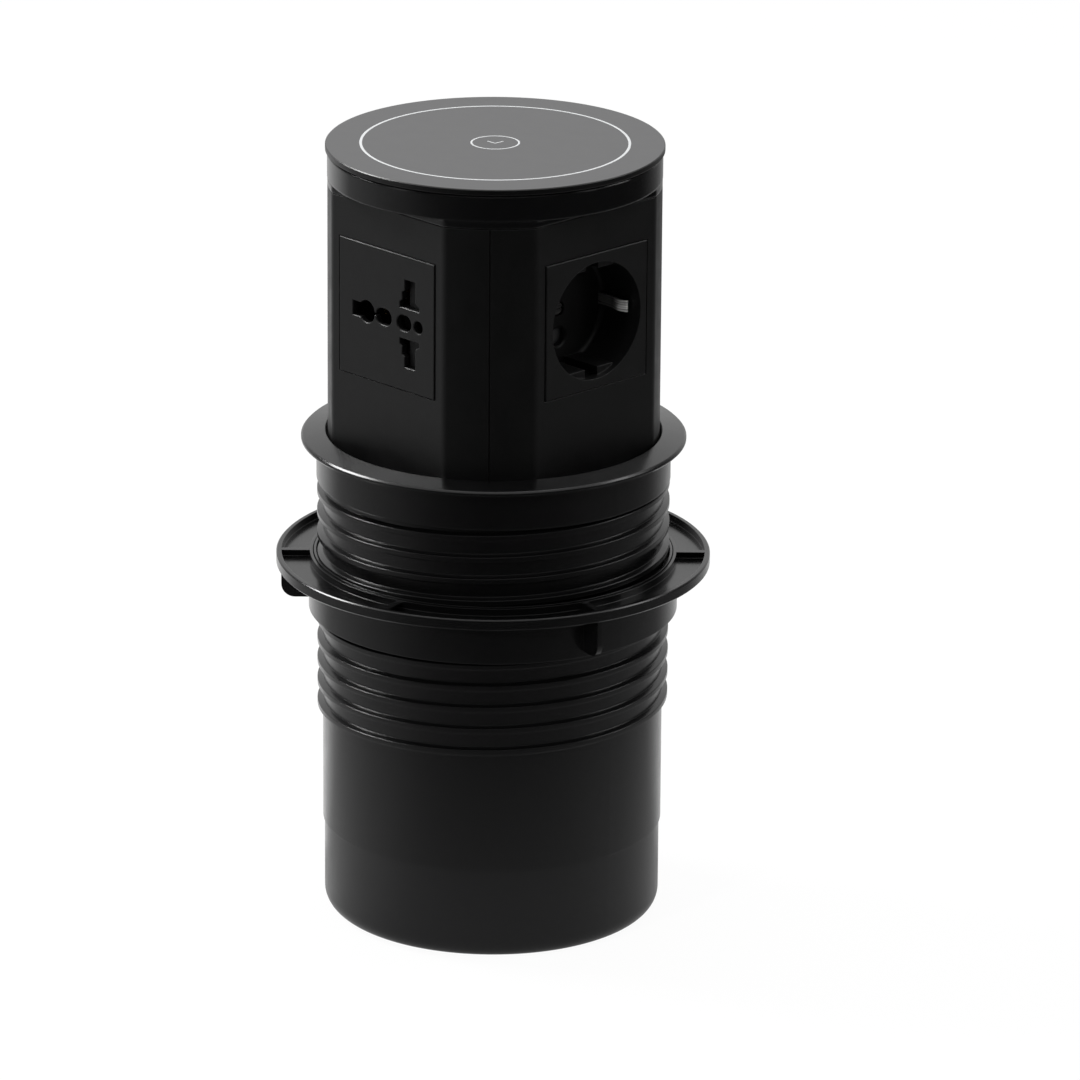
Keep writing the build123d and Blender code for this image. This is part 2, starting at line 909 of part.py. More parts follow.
def round_socket_body():
    body = insert_plate() + peg(recess_radius + recess_wall, plate_thickness / 2, recess_back)
    recess = peg(recess_radius, -overrun, recess_depth)
    recess = fillet(recess.edges().filter_by(GeomType.CIRCLE).sort_by(Axis.Y)[-1], recess_corner)
    body -= recess
    lip_span = recess_radius - lip_reach + bond_depth
    lip_back = recess_depth + bond_depth
    lip_length = lip_half_length + lip_half_length
    for side in (-1, 1):
        lip = slab(lip_length, lip_span, lip_depth, lip_back, 0, side * (lip_reach + lip_span / 2))
        lip &= peg(recess_radius + bond_depth, lip_depth, lip_back)
        body += lip - slab(notch_width, recess_radius, 0, recess_depth, 0, side * recess_radius)
    slot_height = clip_width + clip_slot_clearance
    slot_reach = clip_reach + clip_thickness + clip_slot_clearance
    slot_inner = clip_reach - clip_slot_clearance
    slot_width_here = slot_reach - slot_inner
    for side in (-1, 1):
        middle = side * (slot_reach + slot_inner) / 2
        body -= slab(slot_width_here, slot_height, recess_depth - overrun, recess_back + overrun, middle)
    for z in pin_places():
        body -= pin_hole(z)
    seat = recess_depth + centre_head_sink + centre_head_height
    body -= peg(centre_head_radius + seat_gap, recess_depth - overrun, seat)
    return body - peg(centre_screw_radius + running_gap, recess_depth - overrun, recess_back + overrun)


def pin_hole(z):
    # A round hole whose rim is bevelled toward the plug
    wide = pin_hole_radius + pin_hole_rim
    rim = Cone(wide, pin_hole_radius, pin_hole_rim, align=(Align.CENTER, Align.CENTER, Align.MIN))
    hole = Pos(0, recess_depth, z) * Rot(-quarter, 0, 0) * rim
    return hole + peg(pin_hole_radius, recess_depth - overrun, recess_back + overrun, 0, z)


def earth_clip():
    # One sheet strap: a bridge behind the recess floor and two arms that bulge into the recess
    arm_outer = clip_reach + clip_thickness
    outline = []
    for side in (1, -1):
        arm = [
            (arm_outer, clip_back),
            (arm_outer, clip_bulge_depth + clip_return),
            (arm_outer - clip_bulge, clip_bulge_depth),
            (arm_outer, clip_front),
            (clip_reach, clip_front),
            (clip_reach - clip_bulge, clip_bulge_depth),
            (clip_reach, clip_bulge_depth + clip_return),
            (clip_reach, recess_back),
        ]
        points = [(side * x, y) for x, y in arm]
        outline += points if side > 0 else points[::-1]
    strap = extrude(make_face(Polyline(*outline, close=True)), clip_width / 2, both=True)
    return strap - peg(centre_screw_radius + running_gap, recess_back - overrun, clip_back + overrun)


def socket_shutter():
    disc = peg(shutter_radius, shutter_front, shutter_back)
    disc -= peg(shutter_hub + running_gap, shutter_front - overrun, shutter_back + overrun)
    window = peg(pin_hole_radius, shutter_front - overrun, shutter_back + overrun, 0, pin_spacing / 2)
    for turn in (shutter_turn, shutter_turn + half_turn):
        disc -= Rot(0, turn, 0) * window
    return disc


def contact_carrier():
    body = slab(carrier_width, carrier_height, carrier_front, carrier_back)
    inside_width = carrier_width - carrier_wall - carrier_wall
    inside_height = carrier_height - carrier_wall - carrier_wall
    body -= slab(inside_width, inside_height, carrier_front + carrier_wall, carrier_back - carrier_wall)
    body += peg(shutter_hub, clip_back, carrier_back - carrier_wall)
    for z in pin_places():
        body -= peg(pin_hole_radius, carrier_front - overrun, carrier_front + carrier_wall + overrun, 0, z)
    return body - peg(centre_screw_radius + running_gap, clip_back - overrun, carrier_back - carrier_wall)


def pin_contact(z):
    back = carrier_back - carrier_wall
    front = back - contact_length
    offset = (contact_gap + contact_sheet) / 2
    span = contact_gap + contact_sheet + contact_sheet
    clip = slab(span, contact_width, back - contact_sheet, back, 0, z)
    for side in (-1, 1):
        clip += slab(contact_sheet, contact_width, front, back, side * offset, z)
    return clip


def pin_contacts():
    return Part() + [pin_contact(z) for z in pin_places()]


def centre_screw():
    head_front = recess_depth + centre_head_sink
    head_back = head_front + centre_head_height
    slot_back = head_front + centre_head_height / 2
    head = peg(centre_head_radius, head_front, head_back)
    head -= slab(centre_head_radius + centre_head_radius, driver_slot, head_front - overrun, slot_back)
    return head + peg(centre_screw_radius, slot_back, carrier_back - carrier_wall - overrun)


# Universal socket

slider_front = plate_thickness + seat_gap
slider_back = slider_front + slider_thickness


def plug_slot(side):
    # A blade slot that steps out toward its inner end and leans out on the other side
    left = slot_middle - slot_width / 2
    right = slot_middle + slot_width / 2
    points = [
        (left, slot_far_end),
        (right, slot_far_end),
        (right, foot_right_high),
        (right + foot_right, foot_right_low),
        (right + foot_right, slot_near_end),
        (left - foot_left, slot_near_end),
        (left - foot_left, foot_left_low),
        (left - step_width, foot_left_high),
        (left - step_width, step_low),
        (left, step_high),
    ]
    outline = make_face(Polyline(*[(x, side * z) for x, z in points], close=True))
    length = plate_thickness + overrun + overrun
    return Pos(0, -overrun, 0) * extrude(Plane.XZ * outline, length, dir=(0, 1, 0))


def universal_face():
    body = insert_plate()
    front = -overrun
    back = plate_thickness + overrun
    for side in (-1, 1):
        body -= plug_slot(side)
    body -= slab(earth_slot_width, earth_slot_height, front, back, earth_slot_middle)
    body -= peg(earth_round_radius, front, back, earth_round_middle)
    body -= slab(neck_length, neck_height, front, back, neck_middle)
    body -= oval_peg(second_round_width, second_round_height, front, back, second_round_middle)
    body -= oval_peg(third_round_width, third_round_height, front, back, third_round_middle)
    body -= peg(fourth_round_radius, front, back, fourth_round_middle)
    rims = body.faces().sort_by(Axis.Y)[0].inner_wires().edges()
    return chamfer(rims, hole_rim)


def universal_housing():
    back = plate_thickness + universal_depth
    inside = universal_size - universal_wall - universal_wall
    body = slab(universal_size, universal_size, plate_thickness, back)
    body -= slab(inside, inside, plate_thickness - overrun, back - universal_wall)
    rail_low = slider_half_height + seat_gap
    rail_height = inside / 2 - rail_low + bond_depth
    for side in (-1, 1):
        middle = side * (rail_low + rail_height / 2)
        body += slab(inside, rail_height, slider_front, slider_back, 0, middle)
    return body


def universal_shutter():
    # A fork that slides aside as the blades push in, with a bar between the middle holes
    cut_front = slider_front - overrun
    cut_back = slider_back + overrun
    width = slider_right - slider_left
    height = slider_half_height + slider_half_height
    body = slab(width, height, slider_front, slider_back, slider_left + width / 2)
    gate_width = width - slider_bar + overrun
    gate_middle = slider_left + slider_bar + gate_width / 2
    body -= slab(gate_width, slider_gate + slider_gate, cut_front, cut_back, gate_middle)
    blade_width_here = slot_width - slider_window_inset
    blade_height_here = slot_far_end - slot_near_end
    reach = (slot_far_end + slot_near_end) / 2
    middle = slot_middle - slider_travel
    for side in (-1, 1):
        body -= slab(blade_width_here, blade_height_here, cut_front, cut_back, middle, side * reach)
    return body


def universal_contacts():
    front = slider_back + blade_clear
    back = plate_thickness + universal_depth - universal_wall
    contacts = []
    reach = (slot_far_end + slot_near_end) / 2
    for x, z in ((slot_middle, reach), (slot_middle, -reach), (earth_round_middle, 0)):
        clip = slab(blade_gap + blade_sheet + blade_sheet, blade_width, back - blade_sheet, back, x, z)
        for side in (-1, 1):
            offset = side * (blade_gap + blade_sheet) / 2
            clip += slab(blade_sheet, blade_width, front, back, x + offset, z)
        contacts.append(clip)
    return Part() + contacts


# Charging module

def port_shell(width, height, z):
    back = port_inset + port_length
    inside_width = width - port_wall - port_wall
    inside_height = height - port_wall - port_wall
    body = slab(width, height, port_inset, back, 0, z)
    return body - slab(inside_width, inside_height, port_inset - overrun, back - port_wall, 0, z)


def usb_port_shells():
    wide = port_shell(wide_port_width, wide_port_height, port_raise)
    return Part() + [wide, port_shell(narrow_port_width, narrow_port_height, -port_raise)]


def usb_port_tongues():
    back = port_inset + port_length - port_wall
    front = port_inset + port_wall + port_wall
    wide_width = wide_port_width - tongue_side_gap - tongue_side_gap
    wide_z = port_raise + wide_port_height / 2 - port_wall - port_clearance - wide_tongue_height / 2
    wide = slab(wide_width, wide_tongue_height, front, back, 0, wide_z)
    narrow_width = narrow_port_width - tongue_side_gap - tongue_side_gap
    return Part() + [wide, slab(narrow_width, narrow_tongue_height, front, back, 0, -port_raise)]


def usb_corner_places():
    half = usb_post_spacing / 2
    return [(-half, -half), (-half, half), (half, -half), (half, half)]


def usb_face():
    body = insert_plate()
    room = port_clearance + port_clearance
    back = plate_thickness + overrun
    body -= slab(wide_port_width + room, wide_port_height + room, -overrun, back, 0, port_raise)
    body -= slab(narrow_port_width + room, narrow_port_height + room, -overrun, back, 0, -port_raise)
    board_front = port_inset + port_length
    for x, z in usb_corner_places():
        body += peg(usb_post_radius, plate_thickness / 2, board_front, x, z)
        body -= peg(screw_radius + running_gap, plate_thickness + overrun, board_front + overrun, x, z)
    return body


def usb_board():
    front = port_inset + port_length
    back = front + usb_board_thickness
    body = slab(usb_board_size, usb_board_size, front, back)
    for x, z in usb_corner_places():
        body -= peg(screw_radius + running_gap, front - overrun, back + overrun, x, z)
    return body


def usb_transformer():
    front = port_inset + port_length + usb_board_thickness
    return slab(transformer_width, transformer_height, front, front + transformer_depth)


def usb_screws():
    board_back = port_inset + port_length + usb_board_thickness
    screws = []
    for x, z in usb_corner_places():
        head = peg(screw_head_radius, board_back, board_back + screw_head_height, x, z)
        screws.append(head + peg(screw_radius, board_back - screw_bite, board_back, x, z))
    return Part() + screws


# Terminal block on the tower foot

def terminal_places():
    middle = (terminal_count - 1) / 2
    return [(index - middle) * terminal_spacing for index in range(terminal_count)]


def terminal_block():
    top = foot_top + terminal_height
    body = block(terminal_width, terminal_length, foot_top, top, -terminal_reach)
    for y in terminal_places():
        middle = foot_top + terminal_height / 2
        hole = Cylinder(terminal_hole_radius, terminal_width + overrun)
        body -= Pos(-terminal_reach, y, middle) * Rot(0, quarter, 0) * hole
        body -= rod(terminal_screw_radius + running_gap, middle, top + overrun, -terminal_reach, y)
    return body


def terminal_screws():
    top = foot_top + terminal_height
    low = top - terminal_screw_height - terminal_screw_height
    return Part() + [rod(terminal_screw_radius, low, top, -terminal_reach, y) for y in terminal_places()]


nodes = {
    "desk_sleeve": desk_sleeve(),
    "stop_ring": stop_ring(),
    "base_cup": base_cup(),
    "base_screws": base_screws(),
    "strut_cylinder": strut_cylinder(),
    "strut_pin": strut_pin(),
    "strut_gland": strut_gland(),
    "strut_rod": strut_rod(),
    "strut_nut": strut_nut(),
    "latch_housing": latch_housing(),
    "latch_plunger": latch_plunger(),
    "latch_spring": latch_spring(),
    "cable_gland": cable_gland(),
    "gland_nut": gland_nut(),
    "clamp_nut": clamp_nut(),
    "slip_ring": slip_ring(),
    "tower_shell_front": tower_shell("front"),
    "tower_shell_back": tower_shell("back"),
    "tower_foot": tower_foot(),
    "foot_screws": foot_screws(),
    "top_frame": top_frame(),
    "tower_cap": tower_cap(),
    "cap_screws": cap_screws(),
    "disc_gasket": disc_gasket(),
    "charging_disc": charging_disc(),
    "printed_marks": printed_marks(),
    "charging_coil": charging_coil(),
    "ferrite_plate": ferrite_plate(),
    "coil_tray": coil_tray(),
    "charger_board": charger_board(),
    "universal_face": on_side(universal_face(), 0),
    "universal_housing": on_side(universal_housing(), 0),
    "universal_shutter": on_side(universal_shutter(), 0),
    "universal_contacts": on_side(universal_contacts(), 0),
    "usb_face": on_side(usb_face(), -quarter),
    "usb_port_shells": on_side(usb_port_shells(), -quarter),
    "usb_port_tongues": on_side(usb_port_tongues(), -quarter),
    "usb_board": on_side(usb_board(), -quarter),
    "usb_transformer": on_side(usb_transformer(), -quarter),
    "usb_screws": on_side(usb_screws(), -quarter),
    "terminal_block": terminal_block(),
    "terminal_screws": terminal_screws(),
}

for place, side_turn in (("right", quarter), ("rear", half_turn)):
    nodes["socket_body_" + place] = on_side(round_socket_body(), side_turn)
    nodes["earth_clip_" + place] = on_side(earth_clip(), side_turn)
    nodes["socket_shutter_" + place] = on_side(socket_shutter(), side_turn)
    nodes["contact_carrier_" + place] = on_side(contact_carrier(), side_turn)
    nodes["pin_contacts_" + place] = on_side(pin_contacts(), side_turn)
    nodes["centre_screw_" + place] = on_side(centre_screw(), side_turn)

os.makedirs("parts", exist_ok=True)
for name, shape in nodes.items():
    export_step(shape, "parts/" + name + ".step")
    print(name, len(shape.solids()), round(shape.volume))
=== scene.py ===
import bpy
import json
import math
from mathutils import Matrix, Vector


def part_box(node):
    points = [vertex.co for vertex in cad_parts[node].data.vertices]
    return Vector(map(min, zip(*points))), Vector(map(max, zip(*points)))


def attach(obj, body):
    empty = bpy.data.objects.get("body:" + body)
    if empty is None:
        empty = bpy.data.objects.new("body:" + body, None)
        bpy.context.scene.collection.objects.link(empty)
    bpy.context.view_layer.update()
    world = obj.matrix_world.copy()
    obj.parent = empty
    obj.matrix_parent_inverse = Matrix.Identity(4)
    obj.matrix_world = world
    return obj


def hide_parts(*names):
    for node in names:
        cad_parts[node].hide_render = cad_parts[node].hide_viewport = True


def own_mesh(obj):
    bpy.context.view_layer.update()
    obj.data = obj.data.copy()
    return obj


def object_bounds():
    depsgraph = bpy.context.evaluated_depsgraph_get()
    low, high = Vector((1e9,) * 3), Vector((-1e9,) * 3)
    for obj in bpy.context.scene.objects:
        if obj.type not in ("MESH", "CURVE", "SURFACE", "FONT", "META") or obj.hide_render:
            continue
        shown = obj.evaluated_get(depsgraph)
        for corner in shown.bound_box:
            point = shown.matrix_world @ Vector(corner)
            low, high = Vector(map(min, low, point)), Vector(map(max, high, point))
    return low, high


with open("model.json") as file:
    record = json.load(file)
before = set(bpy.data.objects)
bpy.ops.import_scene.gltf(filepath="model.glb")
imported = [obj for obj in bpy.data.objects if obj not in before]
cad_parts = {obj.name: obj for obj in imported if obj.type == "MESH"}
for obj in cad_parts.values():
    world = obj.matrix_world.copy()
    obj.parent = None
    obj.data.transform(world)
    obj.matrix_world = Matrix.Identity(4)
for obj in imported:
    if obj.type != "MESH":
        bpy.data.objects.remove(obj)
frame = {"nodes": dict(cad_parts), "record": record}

cadLow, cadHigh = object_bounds()
mm = 0.001
fullTurn = 2 * math.pi
frontAzimuth = math.radians(46.5)  # the side that the camera faces, from -Y towards +X


def aroundAxis(degrees):
    # Level direction this far round from the camera's side
    angle = frontAzimuth + math.radians(degrees)
    return Vector((math.sin(angle), -math.cos(angle), 0))


def millimetres(size):
    return [round(length / mm, 2) for length in size]


# Studio

camera = {
    "distance": 2586.8,  # from the middle of the lid
    "elevation": 15.924,
    "lookDown": 18.758,
    "yaw": 0.353,
    "roll": 0.413,
    "lens": 267.5,
    "sensorWidth": 36,
    "clipEnd": 50,
}


def addCamera():
    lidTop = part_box("charging_disc")[1].z
    rise = math.radians(camera["elevation"])
    reach = camera["distance"] * mm * math.cos(rise)
    height = lidTop + camera["distance"] * mm * math.sin(rise)
    bpy.ops.object.camera_add()
    cam = bpy.context.active_object
    cam.name = "photoCamera"
    cam.location = aroundAxis(0) * reach + Vector((0, 0, height))
    heading = Matrix.Rotation(frontAzimuth - math.radians(camera["yaw"]), 4, "Z")
    tilt = Matrix.Rotation(math.radians(90 - camera["lookDown"]), 4, "X")
    roll = Matrix.Rotation(math.radians(camera["roll"]), 4, "Z")
    cam.rotation_euler = (heading @ tilt @ roll).to_euler()
    cam.data.lens = camera["lens"]
    cam.data.sensor_width = camera["sensorWidth"]
    cam.data.clip_end = camera["clipEnd"]
    bpy.context.scene.camera = cam
    print("camera placed")


studio = {
    "floorSize": 12.0,
    "floorColor": (0.9, 0.9, 0.9, 1),
    "shadowStrength": 0.05,
    "worldColor": (0.6, 0.6, 0.6, 1),
    "lamps": (
        # name, azimuth from the camera's side, elevation, distance, width, height, watts, seen in gloss
        ("keySoftbox", -112, 40, 1.5, 0.5, 0.5, 18, True),
        ("fillSoftbox", 96, 34, 1.7, 0.5, 0.9, 5, True),
        ("topSoftbox", 175, 74, 1.6, 1.1, 1.1, 10, True),
        ("clipSoftbox", -37, 22, 1.5, 0.1, 0.1, 8, False),
    ),
}

# What gloss picks up from the table: dark towards the camera, bright behind
tableCard = {
    "lift": 0.3,
    "size": 9.0,
    # glow from straight behind, at 0, to the camera's side, at 1
    "glow": (
        (0.0, 0.85), (0.07, 0.85), (0.15, 0.72), (0.28, 0.3),
        (0.5, 0.27), (0.73, 0.18), (0.88, 0.07), (1.0, 0.01),
    ),
    "leftShare": 0.35,
    "rightFade": (300, 900, 0.85),  # the right side darkens between these distances, by this share
    "nearGlow": 0.3,
    "nearTo": 430,
}
frontCard = {"radius": 2.2, "height": 2.2, "middle": 0, "halfAngle": 62, "glow": 0.01, "endGlow": 0.01}
backCard = {"radius": 2.4, "height": 1.7, "middle": 180, "halfAngle": 105, "glow": 0.78, "endGlow": 0.06}
cardFade = (24, 58)  # a card's glow falls off between these angles from its middle
cardSides = 96


def newMaterial(name):
    material = bpy.data.materials.new(name)
    material.use_nodes = True
    nodes = material.node_tree.nodes
    nodes.clear()
    output = nodes.new("ShaderNodeOutputMaterial")
    return material, nodes, material.node_tree.links, output


def scalar(nodes, links, operation, *inputs):
    node = nodes.new("ShaderNodeMath")
    node.operation = operation
    for index, value in enumerate(inputs):
        if isinstance(value, (int, float)):
            node.inputs[index].default_value = value
        else:
            links.new(value, node.inputs[index])
    return node.outputs[0]


def seenDirectly(nodes, links):
    # 1 for the camera, for reflections and for what is seen through, 0 for light that lands
    rays = nodes.new("ShaderNodeLightPath").outputs
    seen = scalar(nodes, links, "MAXIMUM", rays["Is Camera Ray"], rays["Is Glossy Ray"])
    return scalar(nodes, links, "MAXIMUM", seen, rays["Is Transmission Ray"])


def levelPart(nodes, links, place):
    flat = nodes.new("ShaderNodeVectorMath")
    flat.operation = "MULTIPLY"
    flat.inputs[1].default_value = (1, 1, 0)
    links.new(place, flat.inputs[0])
    return flat.outputs[0]


def lengthOf(nodes, links, vector):
    distance = nodes.new("ShaderNodeVectorMath")
    distance.operation = "LENGTH"
    links.new(vector, distance.inputs[0])
    return distance.outputs["Value"]


def along(nodes, links, vector, direction):
    share = nodes.new("ShaderNodeVectorMath")
    share.operation = "DOT_PRODUCT"
    share.inputs[1].default_value = direction
    links.new(vector, share.inputs[0])
    return share.outputs["Value"]


def mixShaders(nodes, links, share, first, second):
    mix = nodes.new("ShaderNodeMixShader")
    links.new(share, mix.inputs[0])
    links.new(first, mix.inputs[1])
    links.new(second, mix.inputs[2])
    return mix.outputs[0]


def glowOnly(nodes, links, strength, output):
    glow = nodes.new("ShaderNodeEmission")
    links.new(strength, glow.inputs["Strength"])
    links.new(glow.outputs[0], output.inputs[0])


def addFloor():
    bpy.ops.object.select_all(action="DESELECT")
    bpy.ops.mesh.primitive_plane_add(size=studio["floorSize"], location=(0, 0, 0))
    floor = bpy.context.active_object
    floor.name = "studioFloor"
    material, nodes, links, output = newMaterial("floorWhite")
    diffuse = nodes.new("ShaderNodeBsdfDiffuse")
    diffuse.inputs["Color"].default_value = studio["floorColor"]
    glow = nodes.new("ShaderNodeEmission")
    share = scalar(nodes, links, "MULTIPLY", seenDirectly(nodes, links), 1 - studio["shadowStrength"])
    surface = mixShaders(nodes, links, share, diffuse.outputs[0], glow.outputs[0])
    links.new(surface, output.inputs[0])
    floor.data.materials.append(material)


def onlyInGloss(card):
    card.visible_camera = False
    card.visible_diffuse = False
    card.visible_shadow = False
    card.visible_transmission = False
    card.visible_volume_scatter = False


def smoothRange(nodes, links, value, fromMin, fromMax, toMin, toMax):
    node = nodes.new("ShaderNodeMapRange")
    node.interpolation_type = "SMOOTHSTEP"
    node.inputs["From Min"].default_value = fromMin * mm
    node.inputs["From Max"].default_value = fromMax * mm
    node.inputs["To Min"].default_value = toMin
    node.inputs["To Max"].default_value = toMax
    links.new(value, node.inputs["Value"])
    return node.outputs[0]


def addTableCard():
    bpy.ops.object.select_all(action="DESELECT")
    bpy.ops.mesh.primitive_plane_add(size=tableCard["size"], location=(0, 0, tableCard["lift"] * mm))
    card = bpy.context.active_object
    card.name = "tableCard"
    material, nodes, links, output = newMaterial("tableGlow")
    place = nodes.new("ShaderNodeTexCoord")
    flat = nodes.new("ShaderNodeVectorMath")
    flat.operation = "NORMALIZE"
    links.new(place.outputs["Object"], flat.inputs[0])
    leftward = along(nodes, links, flat.outputs[0], aroundAxis(-90))
    around = nodes.new("ShaderNodeMapRange")
    around.inputs["From Min"].default_value = -1
    links.new(along(nodes, links, flat.outputs[0], aroundAxis(0)), around.inputs["Value"])
    ramp = nodes.new("ShaderNodeValToRGB")
    steps = ramp.color_ramp.elements
    while len(steps) < len(tableCard["glow"]):
        steps.new(0.5)
    for step, (position, level) in zip(steps, tableCard["glow"]):
        step.position = position
        step.color = (level, level, level, 1)
    links.new(around.outputs[0], ramp.inputs[0])
    side = scalar(nodes, links, "MULTIPLY_ADD", leftward, tableCard["leftShare"], 1)
    far = scalar(nodes, links, "MULTIPLY", ramp.outputs["Color"], side)
    distance = lengthOf(nodes, links, place.outputs["Object"])
    fadeFrom, fadeTo, fadeShare = tableCard["rightFade"]
    fade = smoothRange(nodes, links, distance, fadeFrom, fadeTo, 0, fadeShare / 2)
    rightward = scalar(nodes, links, "SUBTRACT", 1, leftward)
    lost = scalar(nodes, links, "MULTIPLY", fade, rightward)
    kept = scalar(nodes, links, "SUBTRACT", 1, lost)
    far = scalar(nodes, links, "MULTIPLY", far, kept)
    near = smoothRange(nodes, links, distance, 0, tableCard["nearTo"], tableCard["nearGlow"], 0)
    glowOnly(nodes, links, scalar(nodes, links, "ADD", far, near), output)
    card.data.materials.append(material)
    onlyInGloss(card)


def addCurvedCard(name, sizes):
    bpy.ops.object.select_all(action="DESELECT")
    bpy.ops.mesh.primitive_cylinder_add(
        vertices=cardSides, radius=sizes["radius"], depth=sizes["height"], end_fill_type="NOTHING",
        location=(0, 0, sizes["height"] / 2))
    card = bpy.context.active_object
    card.name = name
    bpy.ops.object.mode_set(mode="EDIT")
    bpy.ops.mesh.select_mode(type="FACE")
    bpy.ops.mesh.select_all(action="DESELECT")
    bpy.ops.object.mode_set(mode="OBJECT")
    middle = aroundAxis(sizes["middle"])
    limit = math.cos(math.radians(sizes["halfAngle"]))
    for face in card.data.polygons:
        place = Vector((face.center.x, face.center.y, 0)).normalized()
        face.select = place.dot(middle) < limit
    bpy.ops.object.mode_set(mode="EDIT")
    bpy.ops.mesh.delete(type="FACE")
    bpy.ops.object.mode_set(mode="OBJECT")
    material, nodes, links, output = newMaterial(name + "Glow")
    place = nodes.new("ShaderNodeTexCoord")
    forward = along(nodes, links, levelPart(nodes, links, place.outputs["Object"]), middle)
    fadeFrom, fadeTo = (sizes["radius"] / mm * math.cos(math.radians(angle)) for angle in reversed(cardFade))
    fade = smoothRange(nodes, links, forward, fadeFrom, fadeTo, sizes["endGlow"], sizes["glow"])
    glowOnly(nodes, links, fade, output)
    card.data.materials.append(material)
    onlyInGloss(card)


def addWorld():
    world = bpy.data.worlds.new("studioWorld")
    bpy.context.scene.world = world
    world.use_nodes = True
    nodes = world.node_tree.nodes
    links = world.node_tree.links
    nodes.clear()
    output = nodes.new("ShaderNodeOutputWorld")
    ambient = nodes.new("ShaderNodeBackground")
    ambient.inputs["Color"].default_value = studio["worldColor"]
    backdrop = nodes.new("ShaderNodeBackground")
    seen = seenDirectly(nodes, links)
    links.new(mixShaders(nodes, links, seen, ambient.outputs[0], backdrop.outputs[0]), output.inputs[0])


def addLamps():
    middle = Vector((0, 0, (cadLow.z + cadHigh.z) / 2))
    for name, azimuth, elevation, distance, width, height, watts, inGloss in studio["lamps"]:
        rise = math.radians(elevation)
        towards = aroundAxis(azimuth) * math.cos(rise) + Vector((0, 0, math.sin(rise)))
        bpy.ops.object.light_add(type="AREA", location=middle + towards * distance)
        lamp = bpy.context.active_object
        lamp.name = name
        lamp.rotation_euler = towards.to_track_quat("Z", "Y").to_euler()
        lamp.data.shape = "RECTANGLE"
        lamp.data.size = width
        lamp.data.size_y = height
        lamp.data.energy = watts
        lamp.visible_glossy = inGloss
    print("lamps set")


# Finishes

edgeSamples = 6
plasticLook = {
    "cloudScale": 9,
    "cloudDetail": 3,
    "markScale": 160,
    "markDetail": 6,
    "markRange": (0.3, 0.7),  # the part of the noise that moves the gloss
    "grainDetail": 2,
    "grainDepth": 0.02,
    # The grey coat lies on top only, and the edge below it is black
    "coatSlope": (0.8, 0.98),
    "sideShare": 0.04,
}
metalLook = {
    "brushedScale": (60, 60, 2200),
    "plainScale": (900, 900, 900),
    "scratchDetail": 4,
    "glossShares": (0.6, 1.5),
    "toneRange": (0.35, 0.65),
    "brushedDark": 0.3,
    "plainDark": 0.85,
    "toneBright": 1.05,
    # painted shade: how dark the metal's colour is painted deep in its recess
    "recessShadeDark": 0.12,
    "scratchRelief": 0.5,
    "scratchDepth": 0.02,
    "edge": 0.12,
}


def softEdges(nodes, radius):
    edge = nodes.new("ShaderNodeBevel")
    edge.samples = edgeSamples
    edge.inputs["Radius"].default_value = radius * mm
    return edge.outputs[0]


def noiseOn(nodes, links, vector, scale, detail):
    noise = nodes.new("ShaderNodeTexNoise")
    noise.inputs["Scale"].default_value = scale
    noise.inputs["Detail"].default_value = detail
    links.new(vector, noise.inputs["Vector"])
    return noise.outputs["Fac"]


def evenRange(nodes, links, value, toMin, toMax, fromMin=0, fromMax=1):
    node = nodes.new("ShaderNodeMapRange")
    node.inputs["From Min"].default_value = fromMin
    node.inputs["From Max"].default_value = fromMax
    node.inputs["To Min"].default_value = toMin
    node.inputs["To Max"].default_value = toMax
    links.new(value, node.inputs["Value"])
    return node.outputs[0]


def tintBy(nodes, links, color, share):
    tint = nodes.new("ShaderNodeVectorMath")
    tint.operation = "SCALE"
    tint.inputs[0].default_value = color
    links.new(share, tint.inputs["Scale"])
    return tint.outputs[0]


def reliefOn(nodes, links, height, normal, strength, depth):
    relief = nodes.new("ShaderNodeBump")
    relief.inputs["Strength"].default_value = strength
    relief.inputs["Distance"].default_value = depth * mm
    links.new(height, relief.inputs["Height"])
    links.new(normal, relief.inputs["Normal"])
    return relief.outputs[0]


def plasticFinish(name, color, roughness, grain=0.0, grainSize=0.4, specular=0.5, variation=0.25, edge=0.25,
                  darkSides=False, drift=0.11):
    # Moulded plastic: softened edges, slight tone and gloss drift, a spark-eroded grain, fine handling marks
    look = plasticLook
    material, nodes, links, output = newMaterial(name)
    shader = nodes.new("ShaderNodeBsdfPrincipled")
    shader.inputs["Specular IOR Level"].default_value = specular
    place = nodes.new("ShaderNodeTexCoord").outputs["Object"]
    cloud = noiseOn(nodes, links, place, look["cloudScale"], look["cloudDetail"])
    tone = evenRange(nodes, links, cloud, 1 - variation, 1 + variation)
    if darkSides:
        surface = nodes.new("ShaderNodeNewGeometry")
        parts = nodes.new("ShaderNodeSeparateXYZ")
        links.new(surface.outputs["True Normal"], parts.inputs[0])
        coat = evenRange(nodes, links, parts.outputs["Z"], look["sideShare"], 1, *look["coatSlope"])
        tone = scalar(nodes, links, "MULTIPLY", tone, coat)
    links.new(tintBy(nodes, links, color, tone), shader.inputs["Base Color"])
    marks = noiseOn(nodes, links, place, look["markScale"], look["markDetail"])
    gloss = evenRange(
        nodes, links, marks, roughness * (1 - drift), roughness * (1 + drift), *look["markRange"])
    links.new(gloss, shader.inputs["Roughness"])
    normal = softEdges(nodes, edge)
    if grain:
        speck = noiseOn(nodes, links, place, 1 / (grainSize * mm), look["grainDetail"])
        normal = reliefOn(nodes, links, speck, normal, grain, look["grainDepth"])
    links.new(normal, shader.inputs["Normal"])
    links.new(shader.outputs[0], output.inputs[0])
    return material


